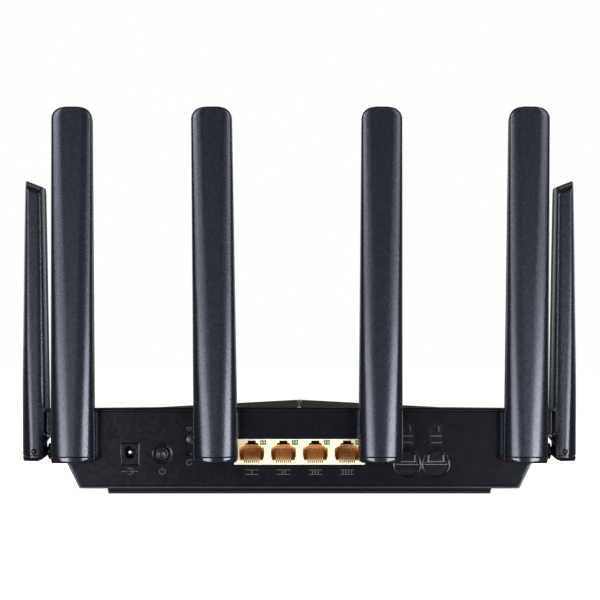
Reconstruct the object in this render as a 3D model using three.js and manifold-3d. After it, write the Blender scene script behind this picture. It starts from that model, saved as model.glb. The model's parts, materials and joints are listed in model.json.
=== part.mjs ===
// Wi-Fi router with six folding paddle antennas, seen from its connector side.
// Millimetres, +Z up, +Y runs from the connector side towards the front of the router.
// The origin is at the centre of the footprint of the whole object, at floor level.
import * as THREE from "three";
import { mergeVertices } from "three/addons/utils/BufferGeometryUtils.js";
import Module from "manifold-3d";

const wasm = await Module();
wasm.setup();

// ---- Driving dimensions --------------------------------------------------------------------

const GAP = 0.3; // running and assembly clearance
const SEAT = 0.05; // clearance under a piece that sits on another
const CORNER_STEPS = 5; // flats along each rounded corner of the case

// Case
const BODY_DEPTH = 150;
const COVER_HALF_WIDTH = 128.5;
const COVER_BOTTOM = 28.75; // lower edge of the top cover
const TRAY_BOTTOM = 2.65;
const TRAY_HALF_WIDTH_LOW = 110;
const TRAY_HALF_WIDTH_HIGH = 122.9;
const TRAY_FRONT_LOW = 132; // depth of the tray at its floor
const TRAY_FRONT_HIGH = 144; // depth of the tray under the cover
const WALL = 1.8;
const COVER_CORNER = 26; // radius of the front corners, seen from above
const TRAY_CORNER = 28;
const RIM = 1.1; // width of the rim that frames the rear panel
const PANEL_SEAT = 3.3; // depth of the rebate that holds the rear panel

// Roof of the top cover
const REAR_EDGE_HIGH = 43.4; // middle of the rear edge
const REAR_EDGE_LOW = 42.85; // outer ends of the rear edge
const FACET_HALF_WIDTH = 70;
const PEAK_Y = 45;
const PEAK_Z = 46.4;
const FRONT_MIDDLE_Z = 37;
const FRONT_SIDE_Z = 34;

// Rear panel
const PANEL_Y = 0.5; // the outer face stands this far inside the rim
const PANEL_THICKNESS = 2.2;
const PANEL_LOW = 3.9;
const PANEL_KNEE = 30.2; // the panel is wider above this height
const PANEL_TOP = 41.1;
const PANEL_HALF_WIDTH = 127.1;

// Feet and plinth
const PLINTH_HALF_WIDTH = 95.9;
const PLINTH_REAR = 1;
const FOOT_HEIGHT = 1.3;
const FOOT_DEPTH = 12;
const REAR_FOOT_Y = 1.6;
const FRONT_FOOT_Y = 112;

// Vents in the floor
const VENT_PITCH = 10;
const VENT_FROM = 45;
const VENT_TO = 95;

// Main board
const BOARD_TOP = 14.45;
const BOARD_THICKNESS = 1.6;
const BOARD_HALF_WIDTH = 97;
const BOARD_REAR = 4.6;
const BOARD_FRONT = 118;

// Fasteners
const SCREW_X = 103;
const SCREW_YS = [26, 112];
const STUD_X = 85;
const STUD_YS = [32, 106];

// Network ports
const PORT_PITCH = 15.92;
const PORT_HALF_WIDTH = 6.2;
const PORT_LOW = 16.9;
const PORT_HIGH = 24.4;
const PORT_DEPTH = 13;
const PORT_BLOCK_HALF_WIDTH = 32.7;
const PORT_BLOCK_TOP = 27.4;
const PORT_BLOCK_DEPTH = 21.5;
const CONTACT_PITCH = 1.016;

// Power inlet, buttons and card slots, as x and z on the rear panel
const JACK_X = -84.75;
const JACK_HALF_WIDTH = 4.45;
const JACK_TOP = 25.15;
const JACK_HOLE_Z = 20.7;
const JACK_HOLE_RADIUS = 3.05;
const POWER_AT = { x: -68.6, z: 19.9 };
const WPS_AT = { x: -55.2, z: 27.05 };
const RESET_AT = { x: -55.2, z: 20.05 };
const POWER_CAP_RADIUS = 3.6;
const POWER_RECESS_RADIUS = 5;
const WPS_CAP_RADIUS = 1.6;
const RESET_CAP_RADIUS = 0.8;
const CARD_SLOT_XS = [54.0, 68.35];
const CARD_SLOT_Z = 14.9;
const CARD_RECESS_RADIUS = 6.4;

// Antennas. In an antenna's own frame the fold pin is the origin, +Y points at the body
// and +Z up the blade.
const REAR_PIN_HEIGHT = 20.9;
const SIDE_PIN_HEIGHT = 19.4;
const PIN_STANDOFF = 9; // from the fold pin to the wall of the case
const PIN_RADIUS = 1.3;
const REAR_ANTENNA_XS = [-112.5, -41.55, 40.3, 112.5];
const REAR_LEANS_DEG = [-0.1, -0.7, 0.2, 0.5]; // how far each one leans as it stands
const REAR_BLADE = { above: 171.7, widthLow: 22, widthHigh: 20.3 };
const SIDE_BLADE = { above: 141, widthLow: 22, widthHigh: 20.3 };
const SIDE_ANTENNA_Y = 57;
const BLADE_BELOW = 5; // from the fold pin to the bottom of the blade
const BLADE_OUTER_LOW = 6.7; // from the pin to the outer face, at the bottom
const BLADE_OUTER_HIGH = 5.4;
const BLADE_INNER_LOW = 7.5; // from the pin to the face next to the body
const BLADE_INNER_HIGH = 4.9;
const BLADE_TOP_SLANT = 3.6;
const BULGE_LOW = 2.3; // how square the outer face is, at the bottom
const BULGE_HIGH = 8;
const BLADE_CORNER = 5.3;
const KNUCKLE_RADIUS = 4.6;
const KNUCKLE_HALF_WIDTH = 4.2;
const NECK_RADIUS = 2.4;
const COLLAR_RADIUS = 4.2;
const COLLAR_FROM = 6.5;
const COLLAR_TO = 7.9;
const STUB_RADIUS = 2.6;
const SNAP_RADIUS = 3.2; // of the flange that holds the stub behind the wall
const BOSS_FACE = 8.2; // the collar turns on the boss of the case, this far from the pin
const BOSS_RADIUS = 6.5;
const SIDE_BOSS_INNER_X = 113;

// The rear face of the case, placed so that the footprint is centred
const REAR_Y = -(BODY_DEPTH - PIN_STANDOFF - BLADE_OUTER_LOW) / 2;

// ---- Solids and shapes ---------------------------------------------------------------------

function solid(geometry) {
  const bare = geometry.clone();
  for (const name of Object.keys(bare.attributes)) {
    if (name !== "position") bare.deleteAttribute(name);
  }
  const merged = mergeVertices(bare, 1e-4);
  return new wasm.Manifold(
    new wasm.Mesh({
      numProp: 3,
      vertProperties: merged.attributes.position.array,
      triVerts: new Uint32Array(merged.index.array),
    }),
  );
}

function geometryOf(body) {
  const mesh = body.getMesh();
  const geometry = new THREE.BufferGeometry();
  geometry.setAttribute("position", new THREE.BufferAttribute(mesh.vertProperties, 3));
  geometry.setIndex(new THREE.BufferAttribute(mesh.triVerts, 1));
  geometry.computeVertexNormals();
  return geometry;
}

const join = (first, ...others) => others.reduce((sum, other) => sum.add(other), first);
const cut = (first, ...others) => others.reduce((rest, other) => rest.subtract(other), first);

function box([x0, x1], [y0, y1], [z0, z1]) {
  const geometry = new THREE.BoxGeometry(x1 - x0, y1 - y0, z1 - z0);
  geometry.translate((x0 + x1) / 2, (y0 + y1) / 2, (z0 + z1) / 2);
  return solid(geometry);
}

// A cylinder along one axis, from one coordinate to another, around the other two.
function rod(axis, radius, [from, to], { x = 0, y = 0, z = 0 }, sides = 16) {
  const geometry = new THREE.CylinderGeometry(radius, radius, to - from, sides);
  const middle = (from + to) / 2;
  if (axis === "x") geometry.rotateZ(Math.PI / 2).translate(middle, y, z);
  if (axis === "y") geometry.translate(x, middle, z);
  if (axis === "z") geometry.rotateX(Math.PI / 2).translate(x, y, middle);
  return solid(geometry);
}

// A body of revolution around the Y axis through (x, z), from [radius, y] points.
function turned(profile, { x = 0, z = 0 } = {}, sides = 16) {
  const points = profile.map(([radius, y]) => new THREE.Vector2(radius, y));
  return solid(new THREE.LatheGeometry(points, sides).translate(x, 0, z));
}

// A flat outline in X and Z, extruded along Y.
function plate(outline, [y0, y1]) {
  const shape = new THREE.Shape(outline.map(([x, z]) => new THREE.Vector2(x, z)));
  const geometry = new THREE.ExtrudeGeometry(shape, { depth: y1 - y0, bevelEnabled: false });
  return solid(geometry.rotateX(Math.PI / 2).translate(0, y1, 0));
}

// An outline in Y and Z, extruded along X.
function sidePlate(outline, [x0, x1]) {
  const shape = new THREE.Shape(outline.map(([y, z]) => new THREE.Vector2(y, z)));
  const geometry = new THREE.ExtrudeGeometry(shape, { depth: x1 - x0, bevelEnabled: false });
  const [alongX, alongY, alongZ] = [0, 1, 2].map((i) => new THREE.Vector3().setComponent(i, 1));
  geometry.applyMatrix4(new THREE.Matrix4().makeBasis(alongY, alongZ, alongX));
  return solid(geometry.translate(x0, 0, 0));
}

// A closed skin over rings of points, each ring with the same number of points, convex,
// and counterclockwise when looked at from the last ring.
function loft(rings) {
  const count = rings[0].length;
  const positions = rings.flat().flatMap((point) => [point.x, point.y, point.z]);
  const faces = [];
  for (let ring = 0; ring + 1 < rings.length; ring++) {
    for (let i = 0; i < count; i++) {
      const a = ring * count + i;
      const b = ring * count + ((i + 1) % count);
      faces.push(a, b, b + count, a, b + count, a + count);
    }
  }
  const last = (rings.length - 1) * count;
  for (let i = 1; i + 1 < count; i++) {
    faces.push(0, i + 1, i);
    faces.push(last, last + i, last + i + 1);
  }
  const geometry = new THREE.BufferGeometry();
  geometry.setAttribute("position", new THREE.Float32BufferAttribute(positions, 3));
  geometry.setIndex(faces);
  return solid(geometry);
}

// The outline of the case seen from above: square at the rear, round at the front corners.
function planRing(halfWidth, rear, front, radius, z) {
  const ring = [new THREE.Vector3(halfWidth, rear, z)];
  for (const side of [1, -1]) {
    for (let step = 0; step <= CORNER_STEPS; step++) {
      const turn = (Math.PI / 2) * (step / CORNER_STEPS);
      const angle = side > 0 ? turn : Math.PI / 2 + turn;
      const centreX = side * (halfWidth - radius);
      ring.push(
        new THREE.Vector3(
          centreX + radius * Math.cos(angle),
          front - radius + radius * Math.sin(angle),
          z,
        ),
      );
    }
  }
  ring.push(new THREE.Vector3(-halfWidth, rear, z));
  return ring;
}

// ---- Case ----------------------------------------------------------------------------------

const mix = (a, b, share) => a + (b - a) * share;
const trayShare = (z) => (z - TRAY_BOTTOM) / (COVER_BOTTOM - TRAY_BOTTOM);
const trayHalfWidth = (z) => mix(TRAY_HALF_WIDTH_LOW, TRAY_HALF_WIDTH_HIGH, trayShare(z));
const trayFront = (z) => mix(TRAY_FRONT_LOW, TRAY_FRONT_HIGH, trayShare(z));

// The space under the faceted roof, lowered by drop.
function underRoof(drop) {
  const reach = COVER_HALF_WIDTH + 2;
  const front = BODY_DEPTH + 2;
  const corners = [
    [-reach, 0, REAR_EDGE_LOW],
    [-FACET_HALF_WIDTH, 0, REAR_EDGE_HIGH],
    [FACET_HALF_WIDTH, 0, REAR_EDGE_HIGH],
    [reach, 0, REAR_EDGE_LOW],
    [reach, front, FRONT_SIDE_Z],
    [0, front, FRONT_MIDDLE_Z],
    [-reach, front, FRONT_SIDE_Z],
  ];
  const count = corners.length;
  const peak = 2 * count;
  const positions = [
    ...corners.flatMap(([x, y, z]) => [x, y, z - drop]),
    ...corners.flatMap(([x, y]) => [x, y, 0]),
    0, PEAK_Y, PEAK_Z - drop,
  ];
  const faces = [
    1, 2, peak, // rear facet
    2, 5, peak, // right of the spine
    5, 1, peak, // left of the spine
    0, 1, 6,
    1, 5, 6,
    2, 3, 4,
    2, 4, 5,
  ];
  for (let i = 0; i < count; i++) {
    const next = (i + 1) % count;
    faces.push(i + count, next + count, next, i + count, next, i);
    if (i > 1) faces.push(count, count + i, count + i - 1);
  }
  const geometry = new THREE.BufferGeometry();
  geometry.setAttribute("position", new THREE.Float32BufferAttribute(positions, 3));
  geometry.setIndex(faces);
  return solid(geometry);
}

// The outline of the rear panel, grown by a gap on every side.
function panelOutline(gap) {
  const inset = RIM + 0.2 - gap;
  const low = PANEL_LOW - gap;
  const knee = PANEL_KNEE - gap;
  const right = [
    [trayHalfWidth(low) - inset, low],
    [trayHalfWidth(knee) - inset, knee],
    [PANEL_HALF_WIDTH + gap, knee],
    [PANEL_HALF_WIDTH + gap, PANEL_TOP + gap],
  ];
  const left = right.map(([x, z]) => [-x, z]).reverse();
  return [...right, ...left];
}

function screwPlaces() {
  return SCREW_YS.flatMap((y) => [-1, 1].map((side) => ({ x: side * SCREW_X, y })));
}

// Height of the roof along its spine.
function spineHeight(y) {
  if (y < PEAK_Y) return mix(REAR_EDGE_HIGH, PEAK_Z, y / PEAK_Y);
  return mix(PEAK_Z, FRONT_MIDDLE_Z, (y - PEAK_Y) / (BODY_DEPTH + 2 - PEAK_Y));
}

// A strip that follows the spine of the roof, from below it to above it.
function alongSpine(halfWidth, [from, to], below, above) {
  const stations = [from, PEAK_Y, to];
  const upper = stations.map((y) => [y, spineHeight(y) + above]);
  const lower = stations.map((y) => [y, spineHeight(y) - below]).reverse();
  return sidePlate([...upper, ...lower], [-halfWidth, halfWidth]);
}

function makeTopCover() {
  const reach = 60;
  const shell = (inset, rear, low) =>
    loft(
      [low, reach].map((z) =>
        planRing(COVER_HALF_WIDTH - inset, rear, BODY_DEPTH - inset, COVER_CORNER - inset, z),
      ),
    );
  const outside = shell(0, 0, COVER_BOTTOM).intersect(underRoof(0));
  const inside = shell(WALL, WALL, 10).intersect(underRoof(WALL));
  const panelOpening = plate(panelOutline(GAP), [-1, PANEL_SEAT]).intersect(
    box([-200, 200], [-2, 20], [PANEL_KNEE - GAP, 60]),
  );
  const flangeRoom = PANEL_HALF_WIDTH - 0.6;
  const behindLip = box([-flangeRoom, flangeRoom], [-2, WALL + 1], [10, PANEL_KNEE]);
  const walls = cut(
    outside,
    inside,
    panelOpening,
    behindLip,
    alongSpine(0.8, [1, BODY_DEPTH - 3], 1.2, 2),
    box([-20, 20], [BODY_DEPTH - 6, BODY_DEPTH + 1], [31, 32.8]),
  );
  const posts = screwPlaces().map((place) =>
    rod("z", 3.4, [7.8, reach], place, 12).intersect(underRoof(WALL / 2)),
  );
  const pilots = screwPlaces().map((place) => rod("z", 1.45, [7, 20], place, 8));
  return cut(join(walls, ...posts), ...pilots);
}

function makeBottomCase() {
  const ring = (inset, rear, z) =>
    planRing(trayHalfWidth(z) - inset, rear, trayFront(z) - inset, TRAY_CORNER - inset, z);
  const outside = loft([ring(0, 0, TRAY_BOTTOM), ring(0, 0, COVER_BOTTOM)]);
  const flangeInset = WALL + 0.4;
  const flange = loft(
    [COVER_BOTTOM, COVER_BOTTOM + 2].map((z) =>
      planRing(
        COVER_HALF_WIDTH - flangeInset,
        0,
        BODY_DEPTH - flangeInset,
        COVER_CORNER - flangeInset,
        z,
      ),
    ),
  );
  const inside = loft([ring(WALL, -2, TRAY_BOTTOM + WALL), ring(WALL, -2, COVER_BOTTOM + 4)]);
  const plinth = box(
    [-PLINTH_HALF_WIDTH, PLINTH_HALF_WIDTH],
    [PLINTH_REAR, FRONT_FOOT_Y + FOOT_DEPTH + 2],
    [FOOT_HEIGHT, TRAY_BOTTOM + 0.5],
  );
  const sideBosses = [-1, 1].map((side) => {
    const outer = COVER_HALF_WIDTH + PIN_STANDOFF - BOSS_FACE;
    const reach = [side * SIDE_BOSS_INNER_X, side * outer].sort((a, b) => a - b);
    return rod("x", BOSS_RADIUS, reach, { y: SIDE_ANTENNA_Y, z: SIDE_PIN_HEIGHT });
  });
  const sideHole = rod("x", STUB_RADIUS + GAP, [-140, 140], {
    y: SIDE_ANTENNA_Y,
    z: SIDE_PIN_HEIGHT,
  });
  const screwSeats = screwPlaces().map((place) =>
    rod("z", 4.5, [TRAY_BOTTOM + 0.5, 7.5], place, 12),
  );
  const screwHoles = screwPlaces().map((place) =>
    rod("z", 3, [2, 4.8], place, 12).add(rod("z", 1.7, [4, 8], place, 8)),
  );
  const studs = STUD_YS.flatMap((y) =>
    [-STUD_X, STUD_X].map((x) =>
      rod("z", 3, [TRAY_BOTTOM + 1, BOARD_TOP - BOARD_THICKNESS - SEAT], { x, y }, 8).add(
        rod("z", 1.3, [8, BOARD_TOP + 1.2], { x, y }, 8),
      ),
    ),
  );
  const vents = [];
  for (let column = -5; column <= 5; column++) {
    const x = column * VENT_PITCH;
    vents.push(box([x - 1, x + 1], [VENT_FROM, VENT_TO], [0, TRAY_BOTTOM + WALL + 1]));
  }
  const floor = cut(join(outside, flange), inside);
  return cut(
    join(floor, plinth, ...sideBosses, ...screwSeats, ...studs),
    plate(panelOutline(GAP), [-1, PANEL_SEAT]),
    sideHole,
    ...screwHoles,
    ...vents,
  );
}

function makeRearPanel() {
  const face = [PANEL_Y, PANEL_Y + PANEL_THICKNESS];
  const through = [-5, 12];
  const bosses = join(
    ...REAR_ANTENNA_XS.map((x) =>
      rod("y", BOSS_RADIUS, [BOSS_FACE - PIN_STANDOFF, face[1]], { x, z: REAR_PIN_HEIGHT }),
    ),
  ).intersect(plate(panelOutline(0), through));
  const antennaHoles = REAR_ANTENNA_XS.map((x) =>
    rod("y", STUB_RADIUS + GAP, through, { x, z: REAR_PIN_HEIGHT }),
  );
  const cardRims = CARD_SLOT_XS.map((x) =>
    rod("y", CARD_RECESS_RADIUS + 0.7, [PANEL_Y - 0.3, face[1] + 1.2], { x, z: CARD_SLOT_Z }),
  );
  const cardDishes = CARD_SLOT_XS.map((x) =>
    rod("y", CARD_RECESS_RADIUS, [-2, face[1] + 0.2], { x, z: CARD_SLOT_Z }),
  );
  const cardSlots = CARD_SLOT_XS.map((x) =>
    box([x - 6, x + 6], through, [CARD_SLOT_Z + 0.1, CARD_SLOT_Z + 1.5]),
  );
  const jackWindow = box(
    [JACK_X - JACK_HALF_WIDTH - 0.2, JACK_X + JACK_HALF_WIDTH + 0.2],
    through,
    [BOARD_TOP - 0.2, JACK_TOP + 0.2],
  );
  const portWindow = box(
    [-PORT_BLOCK_HALF_WIDTH - GAP, PORT_BLOCK_HALF_WIDTH + GAP],
    through,
    [BOARD_TOP - GAP, PORT_BLOCK_TOP + GAP],
  );
  return cut(
    join(plate(panelOutline(0), face), bosses, ...cardRims),
    ...antennaHoles,
    ...cardDishes,
    ...cardSlots,
    jackWindow,
    portWindow,
    rod("y", POWER_CAP_RADIUS + GAP, through, POWER_AT),
    rod("y", POWER_RECESS_RADIUS, [-2, PANEL_Y + 0.6], POWER_AT),
    rod("y", WPS_CAP_RADIUS + 0.6, through, WPS_AT),
    rod("y", RESET_CAP_RADIUS + GAP, through, RESET_AT, 12),
  );
}

function makeSpineStrip() {
  return alongSpine(0.6, [1.2, BODY_DEPTH - 3.2], 1, 0.15);
}

function makeLightGuide() {
  const bar = box([-19.7, 19.7], [BODY_DEPTH - 3.5, BODY_DEPTH - 0.2], [31.2, 32.6]);
  const feet = [-16, 0, 16].map((x) =>
    box([x - 1.2, x + 1.2], [BODY_DEPTH - 14, BODY_DEPTH - 3], [31.2, 32.6]),
  );
  return join(bar, ...feet);
}

function makeFoot(rear) {
  const inset = 0.2;
  const reach = PLINTH_HALF_WIDTH - inset;
  return box([-reach, reach], [rear, rear + FOOT_DEPTH], [0, FOOT_HEIGHT - SEAT]);
}

function makeScrew({ x, y }) {
  const head = rod("z", 2.6, [2.9, 4.5], { x, y }, 12);
  const shank = rod("z", 1.2, [4, 18], { x, y }, 8);
  const slot = box([x - 2, x + 2], [y - 0.4, y + 0.4], [2, 3.7]);
  return cut(join(head, shank), slot);
}

// ---- Electronics ---------------------------------------------------------------------------

function makeMainBoard() {
  const top = [BOARD_TOP - BOARD_THICKNESS, BOARD_TOP];
  const board = box([-BOARD_HALF_WIDTH, BOARD_HALF_WIDTH], [BOARD_REAR, BOARD_FRONT], top);
  const holes = STUD_YS.flatMap((y) =>
    [-STUD_X, STUD_X].map((x) => rod("z", 1.7, [10, 16], { x, y }, 8)),
  );
  const chips = [
    [-30, 60, 14, 14, 1.2],
    [-10, 30, 20, 8, 2.2],
    [14, 30, 20, 8, 2.2],
    [-70, 90, 18, 12, 6],
    [40, 95, 10, 8, 1.2],
  ].map(([x, y, wide, deep, high]) =>
    box([x, x + wide], [y, y + deep], [BOARD_TOP - 0.5, BOARD_TOP + high]),
  );
  return cut(join(board, ...chips), ...holes);
}

function makeModemModule() {
  const card = box([20, 62], [46, 76], [BOARD_TOP + 2.4, BOARD_TOP + 3.2]);
  const socket = box([16, 22], [48, 74], [BOARD_TOP + SEAT, BOARD_TOP + 4.2]);
  const shield = box([25, 56], [49, 73], [BOARD_TOP + 3, BOARD_TOP + 5.4]);
  return join(card, socket, shield);
}

function makeWifiShield() {
  const outer = box([-62, -34], [52, 84], [BOARD_TOP + SEAT, BOARD_TOP + 3]);
  const inner = box([-61.6, -34.4], [52.4, 83.6], [BOARD_TOP - 1, BOARD_TOP + 2.6]);
  return cut(outer, inner);
}

function portCentres() {
  return [-1.5, -0.5, 0.5, 1.5].map((place) => place * PORT_PITCH);
}

function makePortBlock() {
  const front = PANEL_Y - 0.2;
  const block = box(
    [-PORT_BLOCK_HALF_WIDTH, PORT_BLOCK_HALF_WIDTH],
    [front, front + PORT_BLOCK_DEPTH],
    [BOARD_TOP + SEAT, PORT_BLOCK_TOP],
  );
  const openings = portCentres().map((x) =>
    join(
      box([x - PORT_HALF_WIDTH, x + PORT_HALF_WIDTH], [-1, PORT_DEPTH], [PORT_LOW, PORT_HIGH]),
      box([x - 3.3, x + 3.3], [-1, PORT_DEPTH - 2], [PORT_HIGH - 1, 25.35]),
      box([x - 2.1, x + 2.1], [-1, PORT_DEPTH - 2], [PORT_HIGH - 1, 26.5]),
      box([x - 4.1, x + 4.1], [-1, PORT_DEPTH], [15.4, PORT_LOW + 1]),
    ),
  );
  return cut(block, ...openings);
}

// Eight spring contacts on one carrier, at the floor of a port.
function makePortContacts(x) {
  const back = PORT_DEPTH - GAP;
  const carrier = box([x - 3.8, x + 3.8], [back - 2, back], [15.8, 19.4]);
  const fingers = [];
  for (let i = 0; i < 8; i++) {
    const at = x + (i - 3.5) * CONTACT_PITCH;
    const outline = [
      [1.2, 15.8],
      [back - 1, 15.8],
      [back - 1, 19.3],
      [back - 2.4, 19.3],
      [1.2, 16.3],
    ];
    fingers.push(sidePlate(outline, [at - 0.2, at + 0.2]));
  }
  return join(carrier, ...fingers);
}

function makeJack() {
  const body = box(
    [JACK_X - JACK_HALF_WIDTH, JACK_X + JACK_HALF_WIDTH],
    [PANEL_Y - 0.1, 14.5],
    [BOARD_TOP + SEAT, JACK_TOP],
  );
  return cut(body, rod("y", JACK_HOLE_RADIUS, [-1, 11], { x: JACK_X, z: JACK_HOLE_Z }));
}

function makeJackPin() {
  const profile = [[0, 1.4], [0.6, 1.4], [1, 2], [1, 10.9], [0, 10.9]];
  return turned(profile, { x: JACK_X, z: JACK_HOLE_Z }, 12);
}

// A button cap with the flange that keeps it behind the panel and the stem that works the switch.
function makeButton(at, { radius, front, stem, stemRadius }) {
  const behind = PANEL_Y + PANEL_THICKNESS + 0.2;
  const profile = [
    [0, front],
    [radius - 0.3, front],
    [radius, front + 0.3],
    [radius, behind],
    [radius + 0.8, behind],
    [radius + 0.8, behind + 0.8],
    [stemRadius, behind + 0.8],
    [stemRadius, stem],
    [0, stem],
  ];
  return turned(profile, at);
}

function makePowerSwitch() {
  const { x, z } = POWER_AT;
  const body = box([x - 4.2, x + 4.2], [8.5, 21], [BOARD_TOP + SEAT, z + 4.2]);
  return cut(body, rod("y", 1.8, [8, 13], POWER_AT, 16));
}

function makeTactSwitch({ x, z }) {
  const body = box([x - 3, x + 3], [7.4, 10.6], [z - 3, z + 3]);
  return cut(body, rod("y", 1.2, [7, 9], { x, z }, 12));
}

function makeButtonBoard() {
  const { x } = WPS_AT;
  return box([x - 3.6, x + 3.6], [10.65, 11.65], [BOARD_TOP + SEAT, WPS_AT.z + 4]);
}

function makeCardSocket(x) {
  const rear = 4.3;
  const shell = box([x - 6.9, x + 6.9], [rear, rear + 15], [BOARD_TOP + SEAT, CARD_SLOT_Z + 2]);
  const mouth = box([x - 6, x + 6], [rear - 1, rear + 13.5], [CARD_SLOT_Z + 0.1, CARD_SLOT_Z + 1.5]);
  return cut(shell, mouth);
}

// ---- Antennas ------------------------------------------------------------------------------

// Half a superellipse on each side of the fold pin: a crowned outer face, which is flatter the
// higher its bulge, and a flatter inner one.
function bladeRing(halfWidth, outer, inner, bulge, z) {
  const ring = [];
  const sides = 20;
  for (let i = 0; i < sides; i++) {
    const angle = (2 * Math.PI * i) / sides;
    const towardsBody = Math.sin(angle) > 0;
    const depth = towardsBody ? inner : outer;
    const power = 2 / (towardsBody ? 4 : bulge);
    const x = halfWidth * Math.sign(Math.cos(angle)) * Math.abs(Math.cos(angle)) ** power;
    const y = depth * Math.sign(Math.sin(angle)) * Math.abs(Math.sin(angle)) ** power;
    ring.push(new THREE.Vector3(x, y, z));
  }
  return ring;
}

function makeBlade({ above, widthLow, widthHigh }) {
  const taper = (z) => (z + BLADE_BELOW) / (above + BLADE_BELOW);
  const shoulder = above - BLADE_CORNER;
  const arc = [0, 0.5, 0.8, 0.97].map((share) => shoulder + BLADE_CORNER * share);
  const stations = [-BLADE_BELOW + 3.4, above / 2, ...arc];
  const rings = stations.map((z) => {
    const corner = Math.sqrt(Math.max(0, 1 - Math.max(0, (z - shoulder) / BLADE_CORNER) ** 2));
    const width = mix(widthLow, widthHigh, taper(z)) / 2 - BLADE_CORNER * (1 - corner);
    const outer = mix(BLADE_OUTER_LOW, BLADE_OUTER_HIGH, taper(z) ** 2);
    const inner = mix(BLADE_INNER_LOW, BLADE_INNER_HIGH, taper(z));
    return bladeRing(width, outer, inner, mix(BULGE_LOW, BULGE_HIGH, taper(z) ** 3), z);
  });
  const lip = bladeRing(
    widthLow / 2 - 0.9,
    BLADE_OUTER_LOW - 0.8,
    BLADE_INNER_LOW,
    BULGE_LOW,
    -BLADE_BELOW,
  );
  const whole = loft([lip, ...rings]);

  const across = [-20, 20];
  const slantOutline = [
    [-20, above + 0.1],
    [-BLADE_OUTER_HIGH, above],
    [BLADE_INNER_HIGH, above - BLADE_TOP_SLANT],
    [20, above - BLADE_TOP_SLANT - 4.9],
    [20, above + 30],
    [-20, above + 30],
  ];
  const reliefOutline = [
    [20, -20],
    [20, 18],
    [8, 8.5],
    [5, 4.7],
    [5, -2.6],
    [2.1, -BLADE_BELOW],
    [2.1, -20],
  ];
  const slotWidth = KNUCKLE_HALF_WIDTH + 0.4;
  const slotRadius = KNUCKLE_RADIUS + 0.5;
  const slot = join(
    rod("x", slotRadius, [-slotWidth, slotWidth], {}),
    box([-slotWidth, slotWidth], [0, 20], [-3, 3.4]),
    box([-slotWidth, slotWidth], [-3, 3.4], [-20, 0]),
    box([-slotWidth, slotWidth], [0, 20], [-20, 0]),
  );
  const hollow = box([-8, 8], [-4, 2.6], [4, above - 10]);
  return cut(
    whole,
    sidePlate(slantOutline, across),
    sidePlate(reliefOutline, across),
    slot,
    hollow,
    rod("x", PIN_RADIUS + 0.2, [-20, 20], {}, 12),
  );
}

function makeKnuckle(wallDepth) {
  const tongue = rod("x", KNUCKLE_RADIUS, [-KNUCKLE_HALF_WIDTH, KNUCKLE_HALF_WIDTH], {});
  const snap = wallDepth + GAP;
  const end = snap + 3;
  const bore = 1;
  const stem = turned(
    [
      [0, 2],
      [NECK_RADIUS, 2],
      [NECK_RADIUS, COLLAR_FROM],
      [COLLAR_RADIUS, COLLAR_FROM],
      [COLLAR_RADIUS, COLLAR_TO],
      [STUB_RADIUS, COLLAR_TO],
      [STUB_RADIUS, snap],
      [SNAP_RADIUS, snap],
      [SNAP_RADIUS, snap + 1],
      [STUB_RADIUS - 0.4, end],
      [bore, end],
      [bore, end - 4],
      [0, end - 4],
    ],
    {},
    12,
  );
  return cut(join(tongue, stem), rod("x", PIN_RADIUS + 0.2, [-20, 20], {}, 12));
}

function makePin() {
  return rod("x", PIN_RADIUS, [-10.4, 10.4], {}, 12);
}

function makeRadiator({ above }) {
  return box([-6.5, 6.5], [-1.4, -0.6], [8, above - 14]);
}

// A thin coaxial lead through the points of its route.
function makeLead(points) {
  const curve = new THREE.CatmullRomCurve3(points.map((point) => new THREE.Vector3(...point)));
  const section = [];
  for (let i = 0; i < 8; i++) {
    const angle = (Math.PI * 2 * i) / 8;
    section.push(new THREE.Vector2(0.6 * Math.cos(angle), 0.6 * Math.sin(angle)));
  }
  const settings = { steps: 12, extrudePath: curve, bevelEnabled: false };
  return solid(new THREE.ExtrudeGeometry(new THREE.Shape(section), settings));
}

// ---- Materials -----------------------------------------------------------------------------

const finish = (color, roughness, metalness = 0) =>
  new THREE.MeshStandardMaterial({ color, roughness, metalness });

const MATERIALS = {
  cover: finish(0x2c2d30, 0.45),
  case: finish(0x212226, 0.55),
  inlay: finish(0x9a9ca2, 0.2, 0.6),
  lens: finish(0xcfd6da, 0.2),
  rubber: finish(0x1a1a1b, 0.85),
  antenna: finish(0x2d2f38, 0.4),
  steel: finish(0xb9bcc0, 0.3, 1),
  board: finish(0x1f5a3a, 0.6),
  shield: finish(0xb4b7ba, 0.35, 0.9),
  ivory: finish(0xfaf4e1, 0.4),
  gold: finish(0xd6a23c, 0.3, 1),
  connector: finish(0x17181a, 0.4),
  button: finish(0x2a2b30, 0.45),
  plastic: finish(0x26272a, 0.5),
  copper: finish(0xb87333, 0.4, 0.8),
  cable: finish(0x4a4b4e, 0.5),
};

// ---- Assembly ------------------------------------------------------------------------------

const router = new THREE.Group();
const body = new THREE.Group();
body.position.y = REAR_Y;
router.add(body);

function place(parent, name, made, material) {
  const mesh = new THREE.Mesh(geometryOf(made), MATERIALS[material]);
  mesh.name = name;
  parent.add(mesh);
}

place(body, "top_cover", makeTopCover(), "cover");
place(body, "spine_strip", makeSpineStrip(), "inlay");
place(body, "bottom_case", makeBottomCase(), "case");
place(body, "rear_panel", makeRearPanel(), "case");
place(body, "light_guide", makeLightGuide(), "lens");
place(body, "rear_foot", makeFoot(REAR_FOOT_Y), "rubber");
place(body, "front_foot", makeFoot(FRONT_FOOT_Y), "rubber");
screwPlaces().forEach((at, i) => place(body, `case_screw_${i + 1}`, makeScrew(at), "steel"));

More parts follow.
